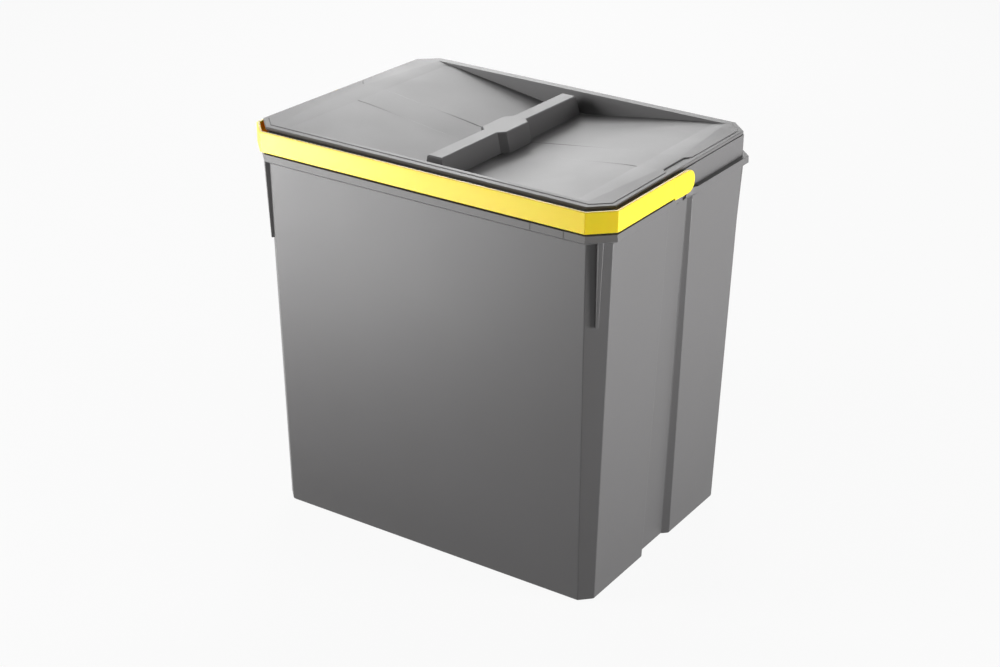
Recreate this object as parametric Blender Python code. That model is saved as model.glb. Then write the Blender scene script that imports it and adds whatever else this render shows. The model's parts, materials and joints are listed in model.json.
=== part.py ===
"""Waste bucket with a lift-off lid and a swinging carry handle.

The bucket, the lid with its grip bar and the bail handle are three plastic mouldings.
Lengths are in metres. X runs along the wide front, Y from front to back and Z up.
"""

import math

import bmesh
import bpy
from mathutils import Matrix, Vector

# Bucket wall: drafted, with 45 degree corners
BASE_HALF_WIDTH = 0.15775
BASE_HALF_DEPTH = 0.1115
BASE_CHAMFER = 0.0099
NECK_HALF_WIDTH = 0.1657
NECK_HALF_DEPTH = 0.1194
NECK_CHAMFER = 0.01505
NECK_HEIGHT = 0.3203
COLLAR_RISE = 0.0242
COLLAR_FLARE = 0.0003
COLLAR_CHAMFER = 0.0158
WALL = 0.0020
FLOOR = 0.0025
FOOT_RADIUS = 0.0022
FOOT_STEPS = 3
CORNER_RADIUS = 0.0016
CORNER_STEPS = 3

# Upright channel in the middle of each narrow side
CHANNEL_FOOT_HALF = 0.0238
CHANNEL_HEAD_HALF = 0.0191
CHANNEL_FOOT_DEPTH = 0.0051
CHANNEL_MIDDLE_DEPTH = 0.0045
CHANNEL_HEAD_DEPTH = 0.0032
CHANNEL_MIDDLE_SHARE = 0.7
CHANNEL_RADIUS = 0.0013
BOSS_RISE = 0.0005
BOSS_RADIUS = 0.0004
BOSS_START = 0.0006

# Stacking flange below the collar, let in round the pivots
FLANGE_REACH = 0.0049
FLANGE_THICKNESS = 0.0048
FLANGE_UNDERCUT = 0.0035
FLANGE_STEP = 0.0003
FLANGE_STEP_POSITIONS_SHARES = (0.6313, 0.8087)
FLANGE_LET_IN = 0.0191
LEDGE_REACH = 0.0019
LEDGE_HALF_LENGTH = 0.0117
SLOT_HALF_LENGTH = 0.0038
SLOT_SLOPE = 0.0004

# Nesting fin on each corner
FIN_LENGTH = 0.0717
FIN_FOOT_REACH = 0.0027
FIN_HEAD_REACH = 0.0045
FIN_FOOT_THICKNESS = 0.0021
FIN_HEAD_THICKNESS = 0.0045
FIN_TIP_SHARE = 0.27

# Pivot and carry handle
PIVOT_DROP = 0.0079
PIVOT_CLEARANCE = 0.0003
STUD_RADIUS = 0.0040
STUD_REACH = 0.0034
STUD_LEAD = 0.0008
ROUND_STEPS = 32
BAND_CLEARANCE_SIDE = 0.0035
BAND_CLEARANCE_FRONT = 0.0051
BAND_CHAMFER = 0.01815
BAND_BELOW_PIVOT = 0.00775
BAND_ABOVE_PIVOT = 0.0097
BAND_THICKNESS = 0.0026
BAND_EDGE = 0.0006
LUG_RADIUS = 0.00935
LUG_RAISE = 0.0010
LUG_INNER_SETBACK = 0.0002
LUG_END_SETBACK = 0.0022
LUG_FRONT_LOW = 0.0225
LUG_FRONT_HIGH = 0.0262
LUG_EDGE = 0.0006
LUG_END_STEPS = 16

# Stops on the flange that the handle's lugs come down on
STOP_LENGTH = 0.0030
STOP_WIDTH = 0.0033
STOP_SETBACK = 0.0003
REST_GAP = 0.0003

# Lid rim, raised plate and locating skirt
LID_GAP = 0.0003
RIM_SETBACK = 0.0002
RIM_THICKNESS = 0.0018
RIM_ROLL = 0.0011
RIM_ROLL_DROP = 0.0004
PLATE_SIDE_MARGIN = 0.0034
PLATE_END_MARGIN = 0.0050
PLATE_CHAMFER = 0.0131
PLATE_RISE = 0.0012
PLATE_EDGE = 0.0005
PLATE_THICKNESS = 0.0020
JOG_DEPTH = 0.0082
MIDDLE_HALF_LENGTH = 0.0160
MIDDLE_TAPER = 0.0055
SKIRT_CLEARANCE = 0.0006
SKIRT_THICKNESS = 0.0018
SKIRT_DEPTH = 0.0022
SKIRT_LEAD = 0.0004

# Dish in the lid; its shares are of the half width and of the depth, from the trough up
DISH_SIDE_MARGIN = 0.0198
DISH_END_MARGIN = 0.0093
DISH_END_DRAFT = 0.0044
DISH_DEPTH = 0.0166
DISH_SKIN = 0.0020
DISH_SHARES = (
    (0.087, 0.0),
    (0.180, 0.102),
    (0.321, 0.271),
    (0.521, 0.512),
    (0.714, 0.729),
    (0.848, 0.849),
    (0.922, 0.898),
    (1.0, 1.0),
)
SUNK_BAND_FRONT = 0.0195
SUNK_BAND_REAR = 0.0171
SUNK_BAND_STEP = 0.0005
SUNK_BAND_DROP = 0.0004
SUNK_BAND_CROSSING_SHARE = 0.62

# Grip bar along the dish, hollow from below
BAR_TOP_HALF = 0.00605
BAR_THICKENING = 0.0053
BAR_SIDE_DRAFT = 0.0025
BAR_END_GAP = 0.0044
BAR_END_DRAFT = 0.0033
BAR_EDGE = 0.0008
BAR_SINK = 0.0010
BAR_WALL = 0.0020

CUT_OVERRUN = 0.0040

# Sizes and heights that follow from the ones above
MITRE_SHARE = 2 - math.sqrt(2)
DIAGONAL_SHARE = math.sqrt(2) / 2
COLLAR_HALF_WIDTH = NECK_HALF_WIDTH + COLLAR_FLARE
COLLAR_HALF_DEPTH = NECK_HALF_DEPTH + COLLAR_FLARE
COLLAR_HEIGHT = NECK_HEIGHT + COLLAR_RISE
FLANGE_TOP = NECK_HEIGHT + FLANGE_THICKNESS
PIVOT_HEIGHT = COLLAR_HEIGHT - PIVOT_DROP
BAND_INNER_WIDTH = COLLAR_HALF_WIDTH + BAND_CLEARANCE_SIDE
BAND_OUTER_WIDTH = BAND_INNER_WIDTH + BAND_THICKNESS
BAND_OUTER_DEPTH = COLLAR_HALF_DEPTH + BAND_CLEARANCE_FRONT + BAND_THICKNESS
RIM_HALF_WIDTH = COLLAR_HALF_WIDTH - RIM_SETBACK
RIM_HALF_DEPTH = COLLAR_HALF_DEPTH - RIM_SETBACK
RIM_LOW = COLLAR_HEIGHT + LID_GAP
RIM_HIGH = RIM_LOW + RIM_THICKNESS
PLATE_HIGH = RIM_HIGH + PLATE_RISE
PLATE_LOW = PLATE_HIGH - PLATE_THICKNESS
MIDDLE_HALF_TAPERED = MIDDLE_HALF_LENGTH + MIDDLE_TAPER
JOG_HALF_WIDTH = RIM_HALF_WIDTH - JOG_DEPTH
DISH_HALF_WIDTH = RIM_HALF_WIDTH - DISH_SIDE_MARGIN
DISH_TOP_END = RIM_HALF_DEPTH - DISH_END_MARGIN
DISH_FOOT_END = DISH_TOP_END - DISH_END_DRAFT
DISH_LOW = PLATE_HIGH - DISH_DEPTH


def mix(start, end, share):
    """Value the given share of the way from start to end."""
    return start + (end - start) * share


def chamfered_rectangle(half_width, half_depth, chamfer):
    """Plan corners of a rectangle with 45 degree corners, counter-clockwise."""
    quarter = [
        (half_width, half_depth - chamfer),
        (half_width - chamfer, half_depth),
    ]
    return mirrored_quarter(quarter)


def mirrored_quarter(quarter):
    """Full counter-clockwise outline from the corners of its first quarter."""
    half = list(quarter) + [(-x, y) for x, y in reversed(quarter)]
    whole = half + [(x, -y) for x, y in reversed(half)]
    return [Vector(corner) for corner in whole]


def inset(outline, distance):
    """The outline moved inwards by the same distance along every edge."""
    moved = []
    for index, corner in enumerate(outline):
        before = (corner - outline[index - 1]).normalized()
        after = (outline[(index + 1) % len(outline)] - corner).normalized()
        normal_before = Vector((-before.y, before.x))
        normal_after = Vector((-after.y, after.x))
        miter = (normal_before + normal_after) / (1 + normal_before.dot(normal_after))
        moved.append(corner + miter * distance)
    return moved


def rounded(outline, radii):
    """The outline with each corner turned into an arc of its own radius."""
    arcs = []
    for index, corner in enumerate(outline):
        back = (outline[index - 1] - corner).normalized()
        ahead = (outline[(index + 1) % len(outline)] - corner).normalized()
        half_angle = back.angle(ahead) / 2
        radius = radii[index]
        centre = corner + (back + ahead).normalized() * radius / math.sin(half_angle)
        start = corner + back * radius / math.tan(half_angle) - centre
        end = corner + ahead * radius / math.tan(half_angle) - centre
        turn = start.angle_signed(end)
        for step in range(CORNER_STEPS + 1):
            spoke = start.copy()
            spoke.rotate(Matrix.Rotation(-turn * step / CORNER_STEPS, 2))
            arcs.append(centre + spoke)
    return arcs


def at_height(outline, height):
    """The plan outline lifted to a height."""
    return [Vector((corner.x, corner.y, height)) for corner in outline]


def loft(name, rings):
    """A closed solid drawn through rings with the same number of points."""
    body = bmesh.new()
    ring = [body.verts.new(point) for point in rings[0]]
    body.faces.new(ring)
    for points in rings[1:]:
        edges = [body.edges.get((ring[index - 1], ring[index])) for index in range(len(ring))]
        grown = bmesh.ops.extrude_edge_only(body, edges=edges)["geom"]
        fresh = {item for item in grown if isinstance(item, bmesh.types.BMVert)}
        ring = [copy_of(vert, fresh) for vert in ring]
        for vert, point in zip(ring, points):
            vert.co = point
    body.faces.new(ring)
    return finished(name, body)


def copy_of(vert, fresh):
    """The extruded copy that an edge joins to the vertex."""
    return next(edge.other_vert(vert) for edge in vert.link_edges if edge.other_vert(vert) in fresh)


def finished(name, body):
    """An object from the mesh, with its faces turned outwards."""
    bmesh.ops.recalc_face_normals(body, faces=body.faces)
    mesh = bpy.data.meshes.new(name)
    body.to_mesh(mesh)
    body.free()
    solid = bpy.data.objects.new(name, mesh)
    bpy.context.scene.collection.objects.link(solid)
    return solid


def block(name, centre, size):
    """A rectangular block."""
    body = bmesh.new()
    spread = Matrix.Diagonal(Vector(size)).to_4x4()
    bmesh.ops.create_cube(body, size=1, matrix=Matrix.Translation(Vector(centre)) @ spread)
    return finished(name, body)


def rod(name, start, end, radius, lead=None):
    """A round rod along X, with its end narrowed by the lead where one is given."""
    body = bmesh.new()
    length = abs(end - start)
    quarter_turn = Matrix.Rotation(math.pi / 2, 4, "Y")
    centre = Matrix.Translation(Vector((mix(start, end, 0.5), 0, PIVOT_HEIGHT)))
    bmesh.ops.create_cone(
        body,
        cap_ends=True,
        segments=ROUND_STEPS,
        radius1=radius,
        radius2=radius,
        depth=length,
        matrix=centre @ quarter_turn,
    )
    if lead:
        rim = [edge for edge in body.edges if all(abs(vert.co.x - end) < lead / 2 for vert in edge.verts)]
        bmesh.ops.bevel(body, geom=rim, offset=lead, segments=1, affect="EDGES")
    return finished(name, body)


def combine(solid, tool, operation):
    """Join the tool to the solid, or cut it away, and drop the tool."""
    step = solid.modifiers.new(tool.name, "BOOLEAN")
    step.operation = operation
    step.solver = "EXACT"
    step.object = tool
    bpy.ops.object.select_all(action="DESELECT")
    bpy.context.view_layer.objects.active = solid
    solid.select_set(True)
    bpy.ops.object.modifier_apply(modifier=step.name)
    bpy.data.objects.remove(tool)


def plastic(name, colour, roughness):
    """Opaque moulded plastic."""
    material = bpy.data.materials.new(name)
    material.use_nodes = True
    shader = material.node_tree.nodes["Principled BSDF"]
    shader.inputs["Base Color"].default_value = (*colour, 1)
    shader.inputs["Roughness"].default_value = roughness
    shader.inputs["Metallic"].default_value = 0
    material.diffuse_color = (*colour, 1)
    return material


def channel_at(share):
    """Half width and depth of the side channel at a share of the neck's height."""
    half = mix(CHANNEL_FOOT_HALF, CHANNEL_HEAD_HALF, share)
    if share < CHANNEL_MIDDLE_SHARE:
        depth = mix(CHANNEL_FOOT_DEPTH, CHANNEL_MIDDLE_DEPTH, share / CHANNEL_MIDDLE_SHARE)
    else:
        above = (share - CHANNEL_MIDDLE_SHARE) / (1 - CHANNEL_MIDDLE_SHARE)
        depth = mix(CHANNEL_MIDDLE_DEPTH, CHANNEL_HEAD_DEPTH, above)
    return half, depth


def wall_outline(half_width, half_depth, chamfer, notch_half, notch_depth):
    """Plan of the wall with its side channels, or with bosses where the depth is negative."""
    quarter = [
        (half_width - notch_depth, notch_half - abs(notch_depth)),
        (half_width, notch_half),
        (half_width, half_depth - chamfer),
        (half_width - chamfer, half_depth),
    ]
    return mirrored_quarter(quarter)


def wall_radii(notch_radius):
    """Corner radii in the order of the wall's outline."""
    quarter = [notch_radius, notch_radius, CORNER_RADIUS, CORNER_RADIUS]
    return (quarter + quarter[::-1]) * 2


def wall_ring(height, inward, lift=0.0):
    """The wall's plan at a height, moved inwards, as a ring raised by the lift."""
    share = height / NECK_HEIGHT
    outline = wall_outline(
        mix(BASE_HALF_WIDTH, NECK_HALF_WIDTH, share),
        mix(BASE_HALF_DEPTH, NECK_HALF_DEPTH, share),
        mix(BASE_CHAMFER, NECK_CHAMFER, share),
        *channel_at(share),
    )
    return at_height(rounded(inset(outline, inward), wall_radii(CHANNEL_RADIUS)), height + lift)


def collar_ring(height, inward, lift=0.0):
    """The collar's plan at a height, moved inwards, as a ring raised by the lift."""
    share = (height - NECK_HEIGHT) / (COLLAR_HEIGHT - NECK_HEIGHT)
    outline = wall_outline(
        mix(NECK_HALF_WIDTH, COLLAR_HALF_WIDTH, share),
        mix(NECK_HALF_DEPTH, COLLAR_HALF_DEPTH, share),
        mix(NECK_CHAMFER, COLLAR_CHAMFER, share),
        CHANNEL_HEAD_HALF,
        -BOSS_RISE,
    )
    return at_height(rounded(inset(outline, inward), wall_radii(BOSS_RADIUS)), height + lift)


def make_shell():
    """Outer form of the bucket, still solid inside."""
    rings = []
    for step in range(FOOT_STEPS + 1):
        angle = math.pi / 2 * step / FOOT_STEPS
        height = FOOT_RADIUS * (1 - math.cos(angle))
        rings.append(wall_ring(height, FOOT_RADIUS * (1 - math.sin(angle))))
    rings.append(wall_ring(NECK_HEIGHT * CHANNEL_MIDDLE_SHARE, 0))
    rings.append(wall_ring(NECK_HEIGHT, 0))
    rings.append(collar_ring(NECK_HEIGHT + BOSS_START, 0))
    rings.append(collar_ring(COLLAR_HEIGHT, 0))
    return loft("bucket", rings)


def make_cavity():
    """The room inside the bucket, following the wall at its thickness."""
    rings = []
    for step in range(FOOT_STEPS + 1):
        angle = math.pi / 2 * step / FOOT_STEPS
        rise = FOOT_RADIUS * (1 - math.cos(angle))
        rings.append(wall_ring(FLOOR + rise, WALL + FOOT_RADIUS * (1 - math.sin(angle))))
    rings.append(wall_ring(NECK_HEIGHT * CHANNEL_MIDDLE_SHARE, WALL))
    rings.append(wall_ring(NECK_HEIGHT, WALL, WALL))
    rings.append(collar_ring(NECK_HEIGHT + BOSS_START, WALL, WALL))
    rings.append(collar_ring(COLLAR_HEIGHT, WALL, CUT_OVERRUN))
    return loft("cavity", rings)


def flange_outline(reach, ledge, slot):
    """Plan of the flange, let in at the pivots, with two small steps on its long sides."""
    width = NECK_HALF_WIDTH + reach
    depth = NECK_HALF_DEPTH + reach
    chamfer = NECK_CHAMFER + reach * MITRE_SHARE
    first, second = (NECK_HALF_WIDTH * share for share in FLANGE_STEP_POSITIONS_SHARES)
    quarter = [
        (NECK_HALF_WIDTH + slot, SLOT_HALF_LENGTH),
        (NECK_HALF_WIDTH + ledge, SLOT_HALF_LENGTH + SLOT_SLOPE),
        (NECK_HALF_WIDTH + ledge, LEDGE_HALF_LENGTH),
        (width, FLANGE_LET_IN),
        (width, depth - chamfer),
        (width - chamfer, depth),
        (second, depth),
        (second - FLANGE_STEP, depth + FLANGE_STEP),
        (first, depth + FLANGE_STEP),
        (first - FLANGE_STEP, depth + FLANGE_STEP + FLANGE_STEP),
    ]
    return mirrored_quarter(quarter)


def make_flange():
    """Stacking flange as a plate, sloped in to the wall underneath."""
    sunk = -WALL / 2
    root = flange_outline(sunk, sunk, sunk)
    full = flange_outline(FLANGE_REACH, LEDGE_REACH, sunk)
    return loft("flange", [
        at_height(root, NECK_HEIGHT - FLANGE_UNDERCUT),
        at_height(full, NECK_HEIGHT),
        at_height(full, FLANGE_TOP),
    ])


def make_fin(side_x, side_y):
    """Nesting fin standing out of one corner, deeper and thicker towards the flange."""
    rings = []
    across = Vector((-side_y, side_x, 0)) * DIAGONAL_SHARE
    outwards = Vector((side_x, side_y, 0)) * DIAGONAL_SHARE
    levels = (
        (NECK_HEIGHT - FIN_LENGTH, FIN_FOOT_REACH, FIN_FOOT_THICKNESS),
        (NECK_HEIGHT + FLANGE_THICKNESS / 2, FIN_HEAD_REACH, FIN_HEAD_THICKNESS),
    )
    for height, reach, thickness in levels:
        share = height / NECK_HEIGHT
        chamfer = mix(BASE_CHAMFER, NECK_CHAMFER, share)
        foot = Vector((
            side_x * (mix(BASE_HALF_WIDTH, NECK_HALF_WIDTH, share) - chamfer / 2),
            side_y * (mix(BASE_HALF_DEPTH, NECK_HALF_DEPTH, share) - chamfer / 2),
            height,
        ))
        half = thickness / 2
        tip = half * FIN_TIP_SHARE
        rings.append([
            foot - outwards * WALL / 2 - across * half,
            foot + outwards * (reach - tip) - across * half,
            foot + outwards * reach - across * (half - tip),
            foot + outwards * reach + across * (half - tip),
            foot + outwards * (reach - tip) + across * half,
            foot - outwards * WALL / 2 + across * half,
        ])
    return loft("fin", rings)


def make_stop(side_x, side_y):
    """Small stop on the end of the flange, just under the resting lug."""
    sunk = FLANGE_THICKNESS / 2
    hang = LUG_RADIUS if side_y < 0 else max(LUG_RADIUS, BAND_ABOVE_PIVOT)
    rise = PIVOT_HEIGHT - hang - REST_GAP - FLANGE_TOP
    outer = NECK_HALF_WIDTH + FLANGE_REACH - STOP_SETBACK
    centre = (
        side_x * (outer - STOP_WIDTH / 2),
        side_y * (FLANGE_LET_IN + STOP_SETBACK + STOP_LENGTH / 2),
        FLANGE_TOP + (rise - sunk) / 2,
    )
    return block("stop", centre, (STOP_WIDTH, STOP_LENGTH, rise + sunk))


def make_bucket():
    """Bucket moulding with its flange, fins, handle stops and pivot holes."""
    bucket = make_shell()
    combine(bucket, make_flange(), "UNION")
    for side_x in (1, -1):
        for side_y in (1, -1):
            combine(bucket, make_fin(side_x, side_y), "UNION")
            combine(bucket, make_stop(side_x, side_y), "UNION")
    combine(bucket, make_cavity(), "DIFFERENCE")
    hole = rod("pivot_hole", -BAND_OUTER_WIDTH, BAND_OUTER_WIDTH, STUD_RADIUS + PIVOT_CLEARANCE)
    combine(bucket, hole, "DIFFERENCE")
    return bucket


def jogged_outline(half_width, half_depth, chamfer, jog):
    """Plan that steps in at the middle of each narrow side."""
    quarter = [
        (jog, MIDDLE_HALF_LENGTH),
        (half_width, MIDDLE_HALF_TAPERED),
        (half_width, half_depth - chamfer),
        (half_width - chamfer, half_depth),
    ]
    return mirrored_quarter(quarter)


def plate_outline(inward):
    """Plan of the raised plate, moved inwards."""
    outline = jogged_outline(
        RIM_HALF_WIDTH - PLATE_SIDE_MARGIN,
        RIM_HALF_DEPTH - PLATE_END_MARGIN,
        PLATE_CHAMFER,
        JOG_HALF_WIDTH,
    )
    return inset(outline, inward)


def skirt_outline(inward):
    """Plan of the skirt that drops into the collar, moved inwards."""
    gap = COLLAR_FLARE + WALL + SKIRT_CLEARANCE
    outline = jogged_outline(
        COLLAR_HALF_WIDTH - gap,
        COLLAR_HALF_DEPTH - gap,
        COLLAR_CHAMFER - gap * MITRE_SHARE,
        JOG_HALF_WIDTH,
    )
    return inset(outline, inward)


def make_skirt():
    """Locating wall under the rim, set in where the handle's studs come through."""
    foot = RIM_LOW - SKIRT_DEPTH
    wall = loft("skirt", [
        at_height(skirt_outline(SKIRT_LEAD), foot),
        at_height(skirt_outline(0), foot + SKIRT_LEAD),
        at_height(skirt_outline(0), mix(RIM_LOW, RIM_HIGH, 0.5)),
    ])
    room = loft("skirt_room", [
        at_height(skirt_outline(SKIRT_THICKNESS), foot - CUT_OVERRUN),
        at_height(skirt_outline(SKIRT_THICKNESS), RIM_HIGH + CUT_OVERRUN),
    ])
    combine(wall, room, "DIFFERENCE")
    return wall


def dish_profile():
    """Distance from the middle and height of each bend of the dish, from the trough up."""
    return [(DISH_HALF_WIDTH * out, DISH_LOW + DISH_DEPTH * up) for out, up in DISH_SHARES]


def sunk_profile():
    """The dish's profile in the band across its middle, lower inside and higher outside."""
    profile = dish_profile()
    trough = profile[0][0]
    crossing = DISH_HALF_WIDTH * SUNK_BAND_CROSSING_SHARE
    sunk = [(x, z - SUNK_BAND_DROP * (crossing - x) / (crossing - trough)) for x, z in profile[:-1]]
    return sunk + profile[-1:]


def dish_ring(profile, place, top):
    """Cross-section of the dish, drawn up to the top; place gives Y at each height."""
    right = profile + [(profile[-1][0], top)]
    points = [(-x, z) for x, z in reversed(right)] + right
    return [Vector((x, place(z), z)) for x, z in points]


def dish_end(side, outward):
    """Place along Y of the drafted end wall at a height, moved outwards."""

    def place(height):
        share = (height - DISH_LOW) / DISH_DEPTH
        return side * (mix(DISH_FOOT_END, DISH_TOP_END, share) + outward)

    return place


def make_dish():
    """The hollow of the dish, with a shallow sunk band across its middle."""
    top = PLATE_HIGH + CUT_OVERRUN
    rings = [dish_ring(dish_profile(), dish_end(-1, 0), top)]
    bends = (
        (dish_profile(), -SUNK_BAND_FRONT),
        (sunk_profile(), SUNK_BAND_STEP - SUNK_BAND_FRONT),
        (sunk_profile(), SUNK_BAND_REAR - SUNK_BAND_STEP),
        (dish_profile(), SUNK_BAND_REAR),
    )
    for profile, y in bends:
        rings.append(dish_ring(profile, lambda height, y=y: y, top))
    rings.append(dish_ring(dish_profile(), dish_end(1, 0), top))
    return loft("dish", rings)


def make_tray():
    """The solid below the dish, one skin thicker all round."""
    lowered = [(x, z - DISH_SKIN) for x, z in dish_profile()[:-1]]
    lowered.append((DISH_HALF_WIDTH, PLATE_LOW))
    top = mix(PLATE_LOW, PLATE_HIGH, 0.5)
    return loft("tray", [
        dish_ring(lowered, dish_end(-1, DISH_SKIN), top),
        dish_ring(lowered, dish_end(1, DISH_SKIN), top),
    ])


def bar_ring(height, inward):
    """Ring of the drafted grip bar at a height, moved inwards."""
    share = (PLATE_HIGH - height) / DISH_DEPTH
    half_width = BAR_TOP_HALF + BAR_EDGE + BAR_SIDE_DRAFT * share
    end = DISH_FOOT_END - BAR_END_GAP - BAR_END_DRAFT * (1 - share)
    quarter = [
        (half_width + BAR_THICKENING, MIDDLE_HALF_LENGTH),
        (half_width, MIDDLE_HALF_TAPERED),
        (half_width, end),
    ]
    return at_height(inset(mirrored_quarter(quarter), inward), height)


def make_bar():
    """Drafted grip bar with bevelled top edges."""
    return loft("bar", [
        bar_ring(DISH_LOW - BAR_SINK, 0),
        bar_ring(PLATE_HIGH - BAR_EDGE, 0),
        bar_ring(PLATE_HIGH, BAR_EDGE),
    ])


def make_bar_room():
    """Hollow of the grip bar, open underneath."""
    return loft("bar_room", [
        bar_ring(DISH_LOW - DISH_SKIN - CUT_OVERRUN, BAR_WALL),
        bar_ring(PLATE_HIGH - BAR_WALL, BAR_WALL),
    ])


def make_lid():
    """Lid moulding: rim, raised plate, skirt, dish and hollow grip bar."""
    rim = chamfered_rectangle(RIM_HALF_WIDTH, RIM_HALF_DEPTH, COLLAR_CHAMFER)
    lid = loft("lid", [
        at_height(rim, RIM_LOW),
        at_height(rim, RIM_HIGH - RIM_ROLL_DROP),
        at_height(inset(rim, RIM_ROLL), RIM_HIGH),
    ])
    combine(lid, loft("plate", [
        at_height(plate_outline(0), mix(RIM_LOW, RIM_HIGH, 0.5)),
        at_height(plate_outline(0), PLATE_HIGH - PLATE_EDGE),
        at_height(plate_outline(PLATE_EDGE), PLATE_HIGH),
    ]), "UNION")
    combine(lid, loft("under_plate", [
        at_height(skirt_outline(SKIRT_THICKNESS), RIM_LOW - CUT_OVERRUN),
        at_height(skirt_outline(SKIRT_THICKNESS), PLATE_LOW),
    ]), "DIFFERENCE")
    combine(lid, make_skirt(), "UNION")
    combine(lid, make_tray(), "UNION")
    combine(lid, make_dish(), "DIFFERENCE")
    combine(lid, make_bar(), "UNION")
    combine(lid, make_bar_room(), "DIFFERENCE")
    return lid


def make_band():
    """Flat band round the front half, with mitred corners and softened edges."""
    outer = chamfered_rectangle(BAND_OUTER_WIDTH, BAND_OUTER_DEPTH, BAND_CHAMFER)
    inner = inset(outer, BAND_THICKNESS)
    front = [corner for corner in outer if corner.y < 0]
    back = [corner for corner in inner if corner.y < 0]
    end = -LUG_RADIUS
    outline = [
        Vector((-BAND_OUTER_WIDTH, end)),
        *front,
        Vector((BAND_OUTER_WIDTH, end)),
        Vector((BAND_INNER_WIDTH, end)),
        *reversed(back),
        Vector((-BAND_INNER_WIDTH, end)),
    ]
    body = bmesh.new()
    low = at_height(outline, PIVOT_HEIGHT - BAND_BELOW_PIVOT)
    face = body.faces.new([body.verts.new(point) for point in low])
    raised = extruded(body, face, (0, 0, BAND_BELOW_PIVOT + BAND_ABOVE_PIVOT))
    rims = [edge for edge in body.edges if len({vert in raised for vert in edge.verts}) == 1
            and any(vert.co.y < end - BAND_EDGE for vert in edge.verts)]
    bmesh.ops.bevel(body, geom=rims, offset=BAND_EDGE, segments=2, profile=0.5, affect="EDGES")
    return finished("carry_handle", body)


def extruded(body, face, travel):
    """Draw the face out into a block and give the corners at its far end."""
    grown = bmesh.ops.extrude_face_region(body, geom=[face])["geom"]
    raised = [item for item in grown if isinstance(item, bmesh.types.BMVert)]
    bmesh.ops.translate(body, verts=raised, vec=travel)
    return set(raised)


def make_lug(side):
    """Rounded end of the handle, thicker than the band, with softened outer edges."""
    low = PIVOT_HEIGHT - LUG_RADIUS
    high = PIVOT_HEIGHT + LUG_RADIUS
    profile = [(-LUG_FRONT_HIGH, high), (-LUG_FRONT_LOW, low)]
    for step in range(LUG_END_STEPS + 1):
        angle = math.pi * step / LUG_END_STEPS - math.pi / 2
        profile.append((
            LUG_RADIUS * math.cos(angle) - LUG_END_SETBACK,
            LUG_RADIUS * math.sin(angle) + PIVOT_HEIGHT,
        ))
    body = bmesh.new()
    root = BAND_INNER_WIDTH + LUG_INNER_SETBACK
    face = body.faces.new([body.verts.new((side * root, y, z)) for y, z in profile])
    raised = extruded(body, face, (side * (BAND_OUTER_WIDTH + LUG_RAISE - root), 0, 0))
    rim = [edge for edge in body.edges if all(vert in raised for vert in edge.verts)]
    bmesh.ops.bevel(body, geom=rim, offset=LUG_EDGE, segments=2, profile=0.5, affect="EDGES")
    return finished("lug", body)


def make_handle():
    """Carry handle with its lugs and pivot studs; its origin is on the pivot."""
    handle = make_band()
    root = BAND_INNER_WIDTH + BAND_THICKNESS / 2
    tip = COLLAR_HALF_WIDTH - WALL - STUD_REACH
    for side in (1, -1):
        combine(handle, make_lug(side), "UNION")
        stud = rod("stud", side * root, side * tip, STUD_RADIUS, STUD_LEAD)
        combine(handle, stud, "UNION")
    pivot = Vector((0, 0, PIVOT_HEIGHT))
    handle.data.transform(Matrix.Translation(-pivot))
    handle.location = pivot
    return handle


def main():
    """Build the three mouldings and give each its plastic."""
    for leftover in list(bpy.data.objects):
        bpy.data.objects.remove(leftover)
    grey = plastic("grey_plastic", (0.130, 0.130, 0.135), 0.38)
    lid_grey = plastic("lid_grey_plastic", (0.135, 0.135, 0.140), 0.36)
    yellow = plastic("yellow_plastic", (0.90, 0.62, 0.02), 0.32)
    for build, material in ((make_bucket, grey), (make_lid, lid_grey), (make_handle, yellow)):
        moulding = build()
        moulding.data.materials.clear()
        moulding.data.materials.append(material)


main()
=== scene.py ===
"""Looks of a grey waste bucket with its lid and its yellow carry handle.

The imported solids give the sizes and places. Each moulding is refined from its solid: its
corners are merged, its flat faces cleaned and its edges softened, the small departures that
the photograph shows are made, and it is dressed in its own plastic. A pale floor, soft boxes
and the photograph's camera complete the scene.
"""

import json
import logging
import math
from abc import ABC, abstractmethod
from collections.abc import Callable
from dataclasses import dataclass, field
from enum import Enum
from typing import Any

import bmesh
import bpy
from mathutils import Matrix, Vector

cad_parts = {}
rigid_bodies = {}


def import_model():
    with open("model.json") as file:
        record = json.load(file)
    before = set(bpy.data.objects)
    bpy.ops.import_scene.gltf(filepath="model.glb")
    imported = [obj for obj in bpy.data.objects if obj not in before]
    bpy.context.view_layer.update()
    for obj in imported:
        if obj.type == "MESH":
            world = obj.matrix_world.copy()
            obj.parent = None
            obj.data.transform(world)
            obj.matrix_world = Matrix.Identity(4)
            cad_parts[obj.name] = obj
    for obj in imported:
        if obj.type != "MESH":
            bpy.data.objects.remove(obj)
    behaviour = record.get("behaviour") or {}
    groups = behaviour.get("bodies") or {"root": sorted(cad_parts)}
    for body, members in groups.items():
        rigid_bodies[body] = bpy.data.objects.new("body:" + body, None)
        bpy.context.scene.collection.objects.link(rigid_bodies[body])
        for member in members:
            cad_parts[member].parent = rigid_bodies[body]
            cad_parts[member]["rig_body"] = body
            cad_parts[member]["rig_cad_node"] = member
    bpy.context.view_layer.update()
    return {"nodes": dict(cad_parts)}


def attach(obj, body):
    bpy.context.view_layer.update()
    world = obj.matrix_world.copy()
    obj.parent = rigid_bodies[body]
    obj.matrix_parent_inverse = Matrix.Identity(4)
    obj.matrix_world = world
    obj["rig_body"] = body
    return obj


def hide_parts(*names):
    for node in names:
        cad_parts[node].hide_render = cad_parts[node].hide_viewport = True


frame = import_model()
LOG = logging.getLogger("waste_bucket")

MILLIMETRE = 0.001

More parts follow.
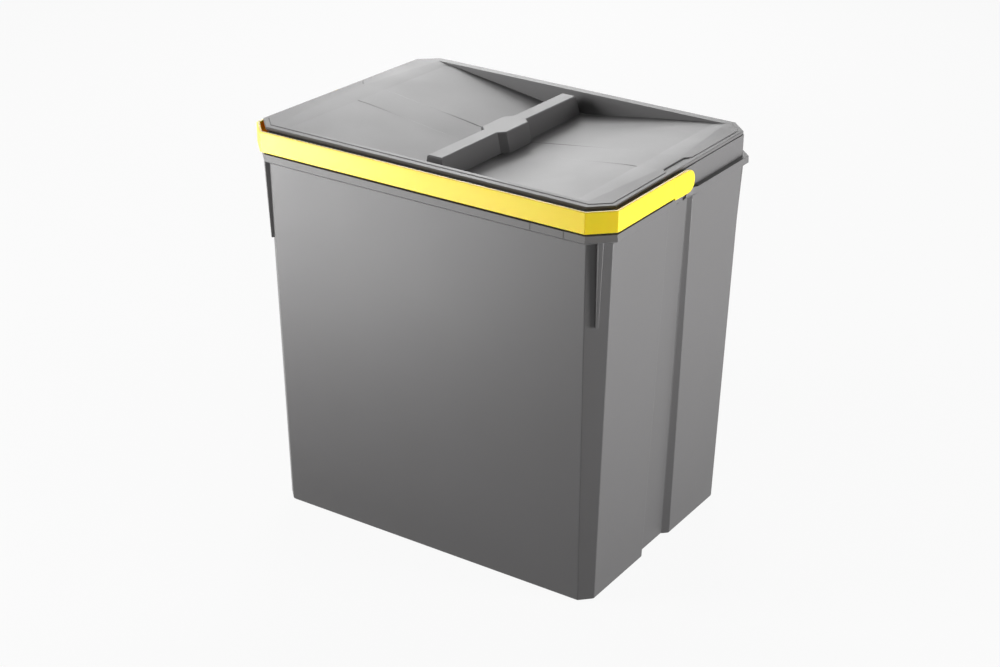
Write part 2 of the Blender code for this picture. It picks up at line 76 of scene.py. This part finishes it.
# The sRGB standard's curve: a straight foot, and a power above it
FULL_CHANNEL = 255
FOOT_END = 0.04045
FOOT_SLOPE = 12.92
CURVE_OFFSET = 0.055
CURVE_POWER = 2.4

# Sockets that share a name with others, which only their number tells apart
MIX_SHARE = 0
MIX_FIRST_COLOUR = 6
MIX_SECOND_COLOUR = 7
MIXED_COLOUR = 2
FIRST_SHADER = 1
SECOND_SHADER = 2
FIRST_TERM = 0
SECOND_TERM = 1


def linear(code: str) -> tuple[float, float, float, float]:
    """Turn an sRGB hex colour into linear red, green, blue and alpha.

    Args:
        code: Six hex digits.

    Returns:
        Linear channels with an alpha of one.
    """
    levels = [int(code[place : place + 2], 16) / FULL_CHANNEL for place in (0, 2, 4)]
    channels = [
        c / FOOT_SLOPE if c <= FOOT_END else ((c + CURVE_OFFSET) / (1 + CURVE_OFFSET)) ** CURVE_POWER
        for c in levels
    ]
    return (*channels, 1.0)


def add_node(
    tree: bpy.types.NodeTree,
    kind: str,
    settings: dict[str | int, Any] | None = None,
    links: dict[str | int, bpy.types.NodeSocket] | None = None,
) -> bpy.types.Node:
    """Add a node with its settings and its links.

    Args:
        tree: The node tree that gets the node.
        kind: Blender's name for the kind of node.
        settings: Input values by socket name or number, and properties by name.
        links: Sockets to link from, by the input that they feed.

    Returns:
        The new node.
    """
    node = tree.nodes.new(kind)
    for name, value in (settings or {}).items():
        if isinstance(name, int) or (name in node.inputs and not hasattr(node, name)):
            node.inputs[name].default_value = value
        else:
            setattr(node, name, value)
    for name, socket in (links or {}).items():
        tree.links.new(socket, node.inputs[name])
    return node


def select_only(piece: bpy.types.Object) -> None:
    """Select one object, make it active and leave everything else unselected.

    Args:
        piece: The object to work on.
    """
    bpy.ops.object.select_all(action="DESELECT")
    piece.select_set(True)
    bpy.context.view_layer.objects.active = piece


def face_breadth(face: bmesh.types.BMFace) -> float:
    """Give a face's mean breadth, which is its area over its longest edge."""
    return face.calc_area() / max(edge.calc_length() for edge in face.edges)


@dataclass(frozen=True)
class MouldedPolypropylene:
    """Injection-moulded polypropylene, coloured all through.

    The mould's fine spark grain makes it satin: broad soft highlights, and edges that
    catch a slightly sharper line. Handling leaves faint duller patches.
    """

    name: str
    colour: str
    cloud_colour: str
    roughness: float
    roughness_spread: float = 0.05
    cloud_mm: float = 90.0
    cloud_detail: float = 3.0
    patch_mm: float = 45.0
    patch_detail: float = 5.0
    patch_roughness: float = 0.6
    grain_mm: float = 1.4
    grain_detail: float = 2.0
    grain_height_mm: float = 0.012
    wave_mm: float = 70.0
    wave_detail: float = 1.0
    wave_height_mm: float = 0.05
    ior: float = 1.49
    glow: float = 0.0
    glow_mm: float = 4.0

    def material(self) -> bpy.types.Material:
        """Build the plastic.

        Returns:
            A procedural material on Object coordinates.
        """
        material = bpy.data.materials.new(self.name)
        material.use_nodes = True
        tree = material.node_tree
        shader = tree.nodes["Principled BSDF"]
        place = add_node(tree, "ShaderNodeTexCoord").outputs["Object"]
        tree.links.new(self.tint(tree, place), shader.inputs["Base Color"])
        tree.links.new(self.satin(tree, place), shader.inputs["Roughness"])
        tree.links.new(self.relief(tree, place), shader.inputs["Normal"])
        shader.inputs["IOR"].default_value = self.ior
        shader.inputs["Metallic"].default_value = 0.0
        # Light-coloured pigment lets some light through thin walls
        shader.inputs["Subsurface Weight"].default_value = self.glow
        shader.inputs["Subsurface Radius"].default_value = linear(self.colour)[:3]
        shader.inputs["Subsurface Scale"].default_value = self.glow_mm * MILLIMETRE
        return material

    def tint(self, tree: bpy.types.NodeTree, place: bpy.types.NodeSocket) -> bpy.types.NodeSocket:
        """Cloud the colour: pigment in polypropylene is never quite even.

        Args:
            tree: The material's node tree.
            place: The place on the piece.

        Returns:
            The colour.
        """
        cloud = add_node(
            tree,
            "ShaderNodeTexNoise",
            {"Scale": 1 / (self.cloud_mm * MILLIMETRE), "Detail": self.cloud_detail},
            {"Vector": place},
        )
        colours = {MIX_FIRST_COLOUR: linear(self.colour), MIX_SECOND_COLOUR: linear(self.cloud_colour)}
        tint = add_node(
            tree,
            "ShaderNodeMix",
            {"data_type": "RGBA", **colours},
            {MIX_SHARE: cloud.outputs["Fac"]},
        )
        return tint.outputs[MIXED_COLOUR]

    def satin(self, tree: bpy.types.NodeTree, place: bpy.types.NodeSocket) -> bpy.types.NodeSocket:
        """Vary the roughness: handling polishes and dulls the satin in patches.

        Args:
            tree: The material's node tree.
            place: The place on the piece.

        Returns:
            The roughness.
        """
        patch = add_node(
            tree,
            "ShaderNodeTexNoise",
            {
                "Scale": 1 / (self.patch_mm * MILLIMETRE),
                "Detail": self.patch_detail,
                "Roughness": self.patch_roughness,
            },
            {"Vector": place},
        )
        satin = add_node(
            tree,
            "ShaderNodeMapRange",
            {
                "To Min": self.roughness - self.roughness_spread,
                "To Max": self.roughness + self.roughness_spread,
            },
            {"Value": patch.outputs["Fac"]},
        )
        return satin.outputs["Result"]

    def relief(self, tree: bpy.types.NodeTree, place: bpy.types.NodeSocket) -> bpy.types.NodeSocket:
        """Bend the surface by the mould's grain and by uneven cooling.

        Args:
            tree: The material's node tree.
            place: The place on the piece.

        Returns:
            The normal.
        """
        # Spark grain is about 0.1 mm; it is drawn coarser, as far as the render can show it
        grain = add_node(
            tree,
            "ShaderNodeTexNoise",
            {"Scale": 1 / (self.grain_mm * MILLIMETRE), "Detail": self.grain_detail},
            {"Vector": place},
        )
        fine = add_node(
            tree,
            "ShaderNodeBump",
            {"Strength": 1.0, "Distance": self.grain_height_mm * MILLIMETRE},
            {"Height": grain.outputs["Fac"]},
        )
        # A large thin wall cools unevenly, which bends its reflections a little
        wave = add_node(
            tree,
            "ShaderNodeTexNoise",
            {"Scale": 1 / (self.wave_mm * MILLIMETRE), "Detail": self.wave_detail},
            {"Vector": place},
        )
        broad = add_node(
            tree,
            "ShaderNodeBump",
            {"Strength": 1.0, "Distance": self.wave_height_mm * MILLIMETRE},
            {"Height": wave.outputs["Fac"], "Normal": fine.outputs["Normal"]},
        )
        return broad.outputs["Normal"]


class Plastic(Enum):
    """The finishes of the three mouldings."""

    BUCKET = MouldedPolypropylene("moulded_grey_polypropylene", "5a5959", "5d5c5d", 0.45)
    LID = MouldedPolypropylene("moulded_lid_polypropylene", "5a5959", "5d5c5d", 0.45)
    HANDLE = MouldedPolypropylene("moulded_yellow_polypropylene", "fbd900", "fbdc02", 0.34, glow=0.5)


@dataclass
class Moulding:
    """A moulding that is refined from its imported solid.

    The copy's loose triangles are merged and its flat faces cleaned. Creases, the shallow
    bends between broad faces, are then blended, and crisp edges, which are steeper, get the
    small radius that every mould edge has. Inner corners stay as they are.
    """

    node: str
    body: str
    slot: str
    finish: Plastic
    name: str
    edge_radius: float = 0.3 * MILLIMETRE
    crease_radius: float = 1.5 * MILLIMETRE
    edge_segments: int = 2
    crease_segments: int = 3
    merge_distance: float = 0.12 * MILLIMETRE
    broad_face: float = 6.0 * MILLIMETRE
    flat_angle: float = math.radians(0.4)
    crease_angle: float = math.radians(6)
    crisp_angle: float = math.radians(28)
    smooth_angle: float = math.radians(50)
    piece: bpy.types.Object | None = field(default=None, init=False)

    def build(self) -> bpy.types.Object:
        """Copy the solid, soften its edges and dress it.

        Returns:
            The finished piece, riding on its body.
        """
        select_only(frame["nodes"][self.node])
        bpy.ops.object.duplicate()
        self.piece = bpy.context.view_layer.objects.active
        self.piece.name = self.name
        self.piece.parent = None
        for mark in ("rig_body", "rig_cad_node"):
            del self.piece[mark]
        self.clean()
        self.adjust()
        self.soften()
        self.shade()
        self.dress()
        return self.piece

    def clean(self) -> None:
        """Merge the loose triangles and clear the flat faces of inner edges."""
        select_only(self.piece)
        bpy.ops.mesh.customdata_custom_splitnormals_clear()
        bpy.ops.object.mode_set(mode="EDIT")
        bpy.ops.mesh.select_all(action="SELECT")
        bpy.ops.mesh.remove_doubles(threshold=self.merge_distance)
        bpy.ops.mesh.dissolve_limited(angle_limit=self.flat_angle)
        bpy.ops.object.mode_set(mode="OBJECT")

    def adjust(self) -> None:
        """Leave the moulding as it is; a kind with a shape of its own changes it here."""

    def spares(self, edge: bmesh.types.BMEdge) -> bool:
        """Tell whether an edge isn't rounded, as an inner corner isn't."""
        return self.inner_corner(edge)

    def shows_as_line(self, edge: bmesh.types.BMEdge) -> bool:
        """Tell whether an edge is seen as a line, as an inner corner is."""
        return self.inner_corner(edge)

    def inner_corner(self, edge: bmesh.types.BMEdge) -> bool:
        """Tell whether an edge is a crisp inner corner."""
        return edge.calc_face_angle(0.0) > self.crisp_angle and not edge.is_convex

    def select_edges(self, picked: Callable[[bmesh.types.BMEdge], bool]) -> bool:
        """Select some of the piece's edges in edit mode, and nothing else.

        Args:
            picked: Tells whether an edge is one of them.

        Returns:
            Whether there is any.
        """
        bpy.ops.mesh.select_mode(type="EDGE")
        bpy.ops.mesh.select_all(action="DESELECT")
        mesh = bmesh.from_edit_mesh(self.piece.data)
        chosen = [edge for edge in mesh.edges if picked(edge)]
        for edge in chosen:
            edge.select_set(True)
        bmesh.update_edit_mesh(self.piece.data)
        return bool(chosen)

    def soften(self) -> None:
        """Round the creases between broad faces, then the crisp edges."""
        select_only(self.piece)
        bpy.ops.object.mode_set(mode="EDIT")
        self.bevel_between(
            self.crease_angle,
            self.crisp_angle,
            self.broad_face,
            self.crease_radius,
            self.crease_segments,
        )
        self.bevel_between(self.crisp_angle, math.pi, 0.0, self.edge_radius, self.edge_segments)
        bpy.ops.object.mode_set(mode="OBJECT")

    def bevel_between(
        self, low: float, high: float, breadth: float, radius: float, segments: int
    ) -> None:
        """Bevel the edges whose angle lies in a range and whose faces are broad enough.

        Args:
            low: Least angle between the two faces.
            high: Angle that the edges stay below.
            breadth: Least breadth of both faces.
            radius: Width of the bevel on each face.
            segments: Number of strips.
        """
        found = self.select_edges(
            lambda edge: low <= edge.calc_face_angle(0.0) < high
            and not self.spares(edge)
            and min(face_breadth(face) for face in edge.link_faces) >= breadth
        )
        if found:
            bpy.ops.mesh.bevel(offset=radius, segments=segments, affect="EDGES", clamp_overlap=False)

    def shade(self) -> None:
        """Shade curves smooth, keep corners, and let the broad faces set the normals."""
        select_only(self.piece)
        bpy.ops.object.shade_smooth_by_angle(angle=self.smooth_angle)
        bpy.ops.object.mode_set(mode="EDIT")
        if self.select_edges(self.shows_as_line):
            bpy.ops.mesh.mark_sharp()
        bpy.ops.object.mode_set(mode="OBJECT")
        weighted = self.piece.modifiers.new("broad_faces_stay_flat", "WEIGHTED_NORMAL")
        weighted.keep_sharp = True
        bpy.ops.object.modifier_apply(modifier=weighted.name)

    def dress(self) -> None:
        """Give the piece its plastic and let it ride in place of its solid."""
        self.piece.data.materials.clear()
        self.piece.data.materials.append(self.finish.value.material())
        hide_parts(self.node)
        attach(self.piece, self.body)


@dataclass
class Bucket(Moulding):
    """The bucket, with its stacking flange at the full height that the photograph shows.

    The places of the flange's outer faces are given across and from front to back.
    """

    edge_radius: float = 0.2 * MILLIMETRE
    flange_top: float = 325.1 * MILLIMETRE
    flange_growth: float = 1.0 * MILLIMETRE
    flange_lean: float = 0.4 * MILLIMETRE
    flange_outside: tuple[float, float] = (170.0 * MILLIMETRE, 124.2 * MILLIMETRE)
    level_tolerance: float = 0.05 * MILLIMETRE

    def adjust(self) -> None:
        """Raise the flange's top face and let its outer faces lean in a little."""
        for vertex in self.piece.data.vertices:
            if abs(vertex.co.z - self.flange_top) > self.level_tolerance:
                continue
            vertex.co.z += self.flange_growth
            for axis, outside in enumerate(self.flange_outside):
                if abs(vertex.co[axis]) > outside:
                    vertex.co[axis] -= math.copysign(self.flange_lean, vertex.co[axis])


@dataclass
class Handle(Moulding):
    """The carry handle, whose lugs grow out of the band without a step."""

    lug_front: float = -21.5 * MILLIMETRE
    lug_reach: float = -27.0 * MILLIMETRE
    band_outside: float = 172.15 * MILLIMETRE

    def adjust(self) -> None:
        """Press the front end of each lug down to the band's outer face."""
        for vertex in self.piece.data.vertices:
            if self.lug_reach < vertex.co.y < self.lug_front and abs(vertex.co.x) > self.band_outside:
                vertex.co.x = math.copysign(self.band_outside, vertex.co.x)

    def spares(self, edge: bmesh.types.BMEdge) -> bool:
        """Spare the lugs too, which are rounded in the solid already."""
        return super().spares(edge) or max(vertex.co.y for vertex in edge.verts) > self.lug_reach


@dataclass
class Lid(Moulding):
    """The lid, which sits as in the photograph: a little to the left and proud at its left.

    The moves in millimetres are those of the corners, in the order front left, front right,
    back left and back right. Between the corners they run evenly, but for a slight bow of the
    front edge. The rim is raised, and its lower places a share more, so that its top comes
    out more level.
    """

    edge_radius: float = 0.18 * MILLIMETRE
    crease_radius: float = 10.0 * MILLIMETRE
    crease_segments: int = 8
    seat_height: float = 344.6 * MILLIMETRE
    sideways_mm: tuple[float, float, float, float] = (-3.3, -0.3, -0.3, -0.5)
    backward_mm: tuple[float, float, float, float] = (-0.7, 0.7, 0.0, 0.0)
    upward_mm: tuple[float, float, float, float] = (1.2, -0.2, 0.9, 0.0)
    front_bow: float = 0.3 * MILLIMETRE
    rim_breadth: float = 8.0 * MILLIMETRE
    skirt_setback: float = 1.5 * MILLIMETRE
    rim_foot: float = 346.0 * MILLIMETRE
    rim_flat: float = 346.6 * MILLIMETRE
    rim_growth: float = 0.8 * MILLIMETRE
    rim_flattening: float = 0.7
    dish_front: float = -110.2 * MILLIMETRE
    dish_half_width: float = 146.0 * MILLIMETRE
    bar_half_width: float = 16.0 * MILLIMETRE
    step_lines: tuple[float, float] = (-19.25 * MILLIMETRE, 16.85 * MILLIMETRE)
    line_tolerance: float = 1.2 * MILLIMETRE

    def adjust(self) -> None:
        """Raise the rim and move all but the skirt to where the photograph has the lid."""
        half = self.half_size()
        for vertex in self.piece.data.vertices:
            height = vertex.co.z
            inset = min(half.x - abs(vertex.co.x), half.y - abs(vertex.co.y))
            in_rim = inset < self.rim_breadth
            in_skirt = in_rim and inset > self.skirt_setback and height < self.rim_foot
            if in_skirt or height < self.seat_height:
                continue
            if in_rim and self.rim_foot < height < self.rim_flat + self.merge_distance:
                vertex.co.z += self.rim_growth + self.rim_flattening * (self.rim_flat - height)
            vertex.co += self.move_at(vertex.co.x / half.x, vertex.co.y / half.y)

    def half_size(self) -> Vector:
        """Measure the solid that the lid starts from.

        Returns:
            Half its size along each axis.
        """
        corners = [vertex.co for vertex in frame["nodes"][self.node].data.vertices]
        spans = [max(c[axis] for c in corners) - min(c[axis] for c in corners) for axis in range(3)]
        return Vector(spans) / 2

    def move_at(self, across: float, deep: float) -> Vector:
        """Work out how far a place of the lid lies from where the solid has it.

        Args:
            across: The place from the left edge, at minus one, to the right edge, at one.
            deep: The place from the front edge, at minus one, to the back edge, at one.

        Returns:
            The move of that place.
        """
        right = (1 + across) / 2
        back = (1 + deep) / 2
        shares = ((1 - right) * (1 - back), right * (1 - back), (1 - right) * back, right * back)
        moves = (self.sideways_mm, self.backward_mm, self.upward_mm)
        even = [sum(share * mm for share, mm in zip(shares, move)) * MILLIMETRE for move in moves]
        bow = self.front_bow * (1 - back) * (1 - across**2)
        return Vector(even) + Vector((0.0, 0.0, bow))

    def near_line(self, edge: bmesh.types.BMEdge, line: float) -> bool:
        """Tell whether an edge runs along a line across the dish.

        Args:
            edge: An edge of the piece in edit mode.
            line: The line's place from the front to the back.

        Returns:
            Whether both of the edge's ends lie on the line, inside the dish.
        """
        reach = self.dish_half_width + self.crease_radius
        ends = [vertex.co for vertex in edge.verts]
        return all(abs(end.y - line) < self.line_tolerance and abs(end.x) < reach for end in ends)

    def spares(self, edge: bmesh.types.BMEdge) -> bool:
        """Spare the sunk band's steps too, and the dish's front lip, which is seen from above."""
        lines = (*self.step_lines, self.dish_front)
        return super().spares(edge) or any(self.near_line(edge, line) for line in lines)

    def shows_as_line(self, edge: bmesh.types.BMEdge) -> bool:
        """Tell it of the sunk band's steps beside the grip bar too.

        Args:
            edge: An edge of the piece in edit mode.

        Returns:
            Whether the edge is seen as a line.
        """
        on_step = any(self.near_line(edge, line) for line in self.step_lines)
        beside_bar = min(abs(vertex.co.x) for vertex in edge.verts) > self.bar_half_width
        bent = edge.calc_face_angle(0.0) > self.flat_angle
        return super().shows_as_line(edge) or (on_step and beside_bar and bent)


@dataclass(frozen=True)
class StudioLight(ABC):
    """A rectangular light, placed by its bearing and its distance from the bucket.

    The azimuth runs in degrees from the right side towards the back, and lengths are metres.
    """

    name: str
    azimuth: float
    distance: float
    radiance: float

    def foot(self) -> Vector:
        """Work out the point of the table that the light belongs to."""
        turn = math.radians(self.azimuth)
        return Vector((self.distance * math.cos(turn), self.distance * math.sin(turn), 0.0))

    @abstractmethod
    def place(self) -> Vector:
        """Work out where the light's middle is."""

    @abstractmethod
    def back(self) -> Vector:
        """Give the direction that the light turns its back to."""

    @abstractmethod
    def breadth(self) -> tuple[float, float]:
        """Give the light's width and height."""

    def build(self) -> bpy.types.Object:
        """Set the light up, unseen by the camera.

        Returns:
            The light.
        """
        lamp = bpy.data.lights.new(self.name, "AREA")
        lamp.shape = "RECTANGLE"
        lamp.size, lamp.size_y = self.breadth()
        lamp.energy = self.radiance * math.pi * lamp.size * lamp.size_y
        light = bpy.data.objects.new(self.name, lamp)
        light.location = self.place()
        light.rotation_mode = "QUATERNION"
        light.rotation_quaternion = self.back().to_track_quat("Z", "Y")
        light.visible_camera = False
        bpy.context.scene.collection.objects.link(light)
        return light


@dataclass(frozen=True)
class Softbox(StudioLight):
    """A soft box that hangs at a rise above the bucket's middle and faces it."""

    elevation: float
    size: tuple[float, float] = (0.70, 0.45)
    middle_height: float = 0.2

    def place(self) -> Vector:
        """Work out where the soft box hangs.

        Returns:
            The place of its middle.
        """
        rise = math.radians(self.elevation)
        height = self.middle_height + self.distance * math.sin(rise)
        return self.foot() * math.cos(rise) + Vector((0.0, 0.0, height))

    def back(self) -> Vector:
        """Point away from the bucket's middle."""
        return self.place() - Vector((0.0, 0.0, self.middle_height))

    def breadth(self) -> tuple[float, float]:
        """Give the soft box's own size."""
        return self.size


@dataclass(frozen=True)
class TableCard(StudioLight):
    """A glowing card flat on the table, which the glossy walls mirror."""

    size_share: float = 0.35
    height: float = 0.02

    def place(self) -> Vector:
        """Work out where the card lies."""
        return self.foot() + Vector((0.0, 0.0, self.height))

    def back(self) -> Vector:
        """Point down, because the card shines up."""
        return Vector((0.0, 0.0, -1.0))

    def breadth(self) -> tuple[float, float]:
        """Give the card's size, which grows with its distance."""
        return (self.size_share * self.distance, self.size_share * self.distance)


SIDE_BOX = (0.60, 0.50)
LIGHTS = (
    Softbox("right_low", azimuth=15, distance=1.6, radiance=21.7, elevation=6, size=SIDE_BOX),
    Softbox("front_left_low", azimuth=220, distance=1.6, radiance=13.6, elevation=5, size=SIDE_BOX),
    Softbox("front_left_raised", azimuth=220, distance=1.6, radiance=10.2, elevation=25, size=SIDE_BOX),
    Softbox("back_left", azimuth=135, distance=1.9, radiance=4.8, elevation=28),
    Softbox("back_high", azimuth=120, distance=1.9, radiance=4.5, elevation=46),
    Softbox("back_middle", azimuth=120, distance=1.9, radiance=3.5, elevation=28),
    Softbox("back_low", azimuth=120, distance=1.9, radiance=3.4, elevation=12),
    TableCard("left_card_near", azimuth=222, distance=0.90, radiance=17.0),
    TableCard("left_card_far", azimuth=222, distance=1.25, radiance=15.8),
    TableCard("front_card", azimuth=240, distance=0.65, radiance=11.7),
    TableCard("right_card_near", azimuth=15, distance=0.90, radiance=15.7),
    TableCard("right_card_middle", azimuth=15, distance=1.25, radiance=16.1),
    TableCard("right_card_far", azimuth=15, distance=1.60, radiance=14.3),
)


def seen_or_mirrored(tree: bpy.types.NodeTree) -> bpy.types.NodeSocket:
    """Tell the rays that show the surroundings, straight or by gloss or glass, from the light.

    Args:
        tree: The node tree of the floor's paper or of the world.

    Returns:
        A socket that is one for camera, glossy and transmission rays, and else nought.
    """
    path = add_node(tree, "ShaderNodeLightPath").outputs
    mirrored = add_node(
        tree,
        "ShaderNodeMath",
        {"operation": "MAXIMUM"},
        {FIRST_TERM: path["Is Glossy Ray"], SECOND_TERM: path["Is Transmission Ray"]},
    )
    shown = add_node(
        tree,
        "ShaderNodeMath",
        {"operation": "MAXIMUM"},
        {FIRST_TERM: path["Is Camera Ray"], SECOND_TERM: mirrored.outputs["Value"]},
    )
    return shown.outputs["Value"]


@dataclass(frozen=True)
class Studio:
    """A pale floor under a plain white surround, lit by soft boxes and table cards.

    Where the floor is seen or mirrored, most of its look is plain white, so that it keeps
    only a faint shadow. The surround lights the bucket by no more than its low level.
    """

    floor_radius: float = 6.0
    floor_sides: int = 64
    floor_colour: str = "c8c8c8"
    shown_colour: str = "ffffff"
    paper_share: float = 0.93
    surround_level: float = 0.02

    def build(self) -> None:
        """Lay the floor, hang the lights and set the surround."""
        self.lay_floor()
        self.set_surround()
        for light in LIGHTS:
            light.build()

    def lay_floor(self) -> None:
        """Lay a round floor that shows nearly white and keeps a soft shadow."""
        bpy.ops.object.select_all(action="DESELECT")
        bpy.ops.mesh.primitive_circle_add(
            vertices=self.floor_sides, radius=self.floor_radius, fill_type="NGON"
        )
        floor = bpy.context.view_layer.objects.active
        floor.name = "studio_floor"
        floor.data.materials.append(self.paper())

    def paper(self) -> bpy.types.Material:
        """Build the floor's matt paper, which catches the shadow but shows nearly white.

        Returns:
            The material.
        """
        paper = bpy.data.materials.new("matt_white_paper_floor")
        paper.use_nodes = True
        tree = paper.node_tree
        tree.nodes.clear()
        matt = add_node(tree, "ShaderNodeBsdfDiffuse", {"Color": linear(self.floor_colour)})
        white = add_node(
            tree, "ShaderNodeEmission", {"Color": linear(self.shown_colour), "Strength": 1.0}
        )
        share = add_node(
            tree,
            "ShaderNodeMath",
            {"operation": "MULTIPLY", SECOND_TERM: self.paper_share},
            {FIRST_TERM: seen_or_mirrored(tree)},
        )
        both = add_node(
            tree,
            "ShaderNodeMixShader",
            links={
                "Fac": share.outputs["Value"],
                FIRST_SHADER: matt.outputs["BSDF"],
                SECOND_SHADER: white.outputs["Emission"],
            },
        )
        add_node(tree, "ShaderNodeOutputMaterial", links={"Surface": both.outputs["Shader"]})
        return paper

    def set_surround(self) -> None:
        """Show plain white, also in gloss, and leave the lighting to the lamps."""
        world = bpy.data.worlds.new("pale_surround")
        bpy.context.scene.world = world
        world.use_nodes = True
        tree = world.node_tree
        tree.nodes.clear()
        faint, white = (
            add_node(
                tree,
                "ShaderNodeBackground",
                {"Color": linear(self.shown_colour), "Strength": strength},
            )
            for strength in (self.surround_level, 1.0)
        )
        both = add_node(
            tree,
            "ShaderNodeMixShader",
            links={
                "Fac": seen_or_mirrored(tree),
                FIRST_SHADER: faint.outputs["Background"],
                SECOND_SHADER: white.outputs["Background"],
            },
        )
        add_node(tree, "ShaderNodeOutputWorld", links={"Surface": both.outputs["Shader"]})


@dataclass(frozen=True)
class PhotographCamera:
    """The camera that took the photograph, as fitted to the bucket's edges.

    Its azimuth runs in degrees from the front towards the right side.
    """

    image_width: float = 1000.0
    focal_pixels: float = 1899.80
    centre_pixel: float = 600.0
    sensor_width: float = 36.0
    nearest: float = 0.05
    azimuth: float = 30.29
    elevation: float = 25.02
    roll: float = 1.93
    location: tuple[float, float, float] = (0.81927, -1.23888, 0.85416)

    def build(self) -> bpy.types.Object:
        """Set up the camera and make it the scene's own.

        Returns:
            The camera.
        """
        lens = bpy.data.cameras.new("photograph_camera")
        lens.sensor_width = self.sensor_width
        lens.lens = self.sensor_width * self.focal_pixels / self.image_width
        lens.shift_x = (self.image_width / 2 - self.centre_pixel) / self.image_width
        lens.clip_start = self.nearest
        camera = bpy.data.objects.new("photograph_camera", lens)
        camera.matrix_world = Matrix.Translation(Vector(self.location)) @ self.turned()
        bpy.context.scene.collection.objects.link(camera)
        bpy.context.scene.camera = camera
        return camera

    def turned(self) -> Matrix:
        """Work out how the camera is turned.

        Returns:
            Its rotation, from its bearing, its rise and its roll.
        """
        turn, rise, roll = (math.radians(a) for a in (self.azimuth, self.elevation, self.roll))
        away = Vector((math.sin(turn), -math.cos(turn), 0.0)) * math.cos(rise)
        back = away + Vector((0.0, 0.0, math.sin(rise)))
        level = Vector((math.cos(turn), math.sin(turn), 0.0))
        upright = back.cross(level)
        right = level * math.cos(roll) + upright * math.sin(roll)
        up = upright * math.cos(roll) - level * math.sin(roll)
        return Matrix((right, up, back)).transposed().to_4x4()


def main() -> None:
    """Build the camera, the studio and the three mouldings in order."""
    logging.basicConfig(level=logging.INFO, format="%(name)s: %(message)s")
    bpy.context.scene.view_settings.view_transform = "Standard"
    PhotographCamera().build()
    Studio().build()
    mouldings = (
        Bucket("bucket", "bucket", "bucket_plastic", Plastic.BUCKET, "bucket_moulding"),
        Lid("lid", "lid", "lid_plastic", Plastic.LID, "lid_moulding"),
        Handle("carry_handle", "carry_handle", "handle_plastic", Plastic.HANDLE, "handle_moulding"),
    )
    for moulding in mouldings:
        piece = moulding.build()
        LOG.info("%s has %d faces", piece.name, len(piece.data.polygons))


if __name__ == "__main__":
    main()
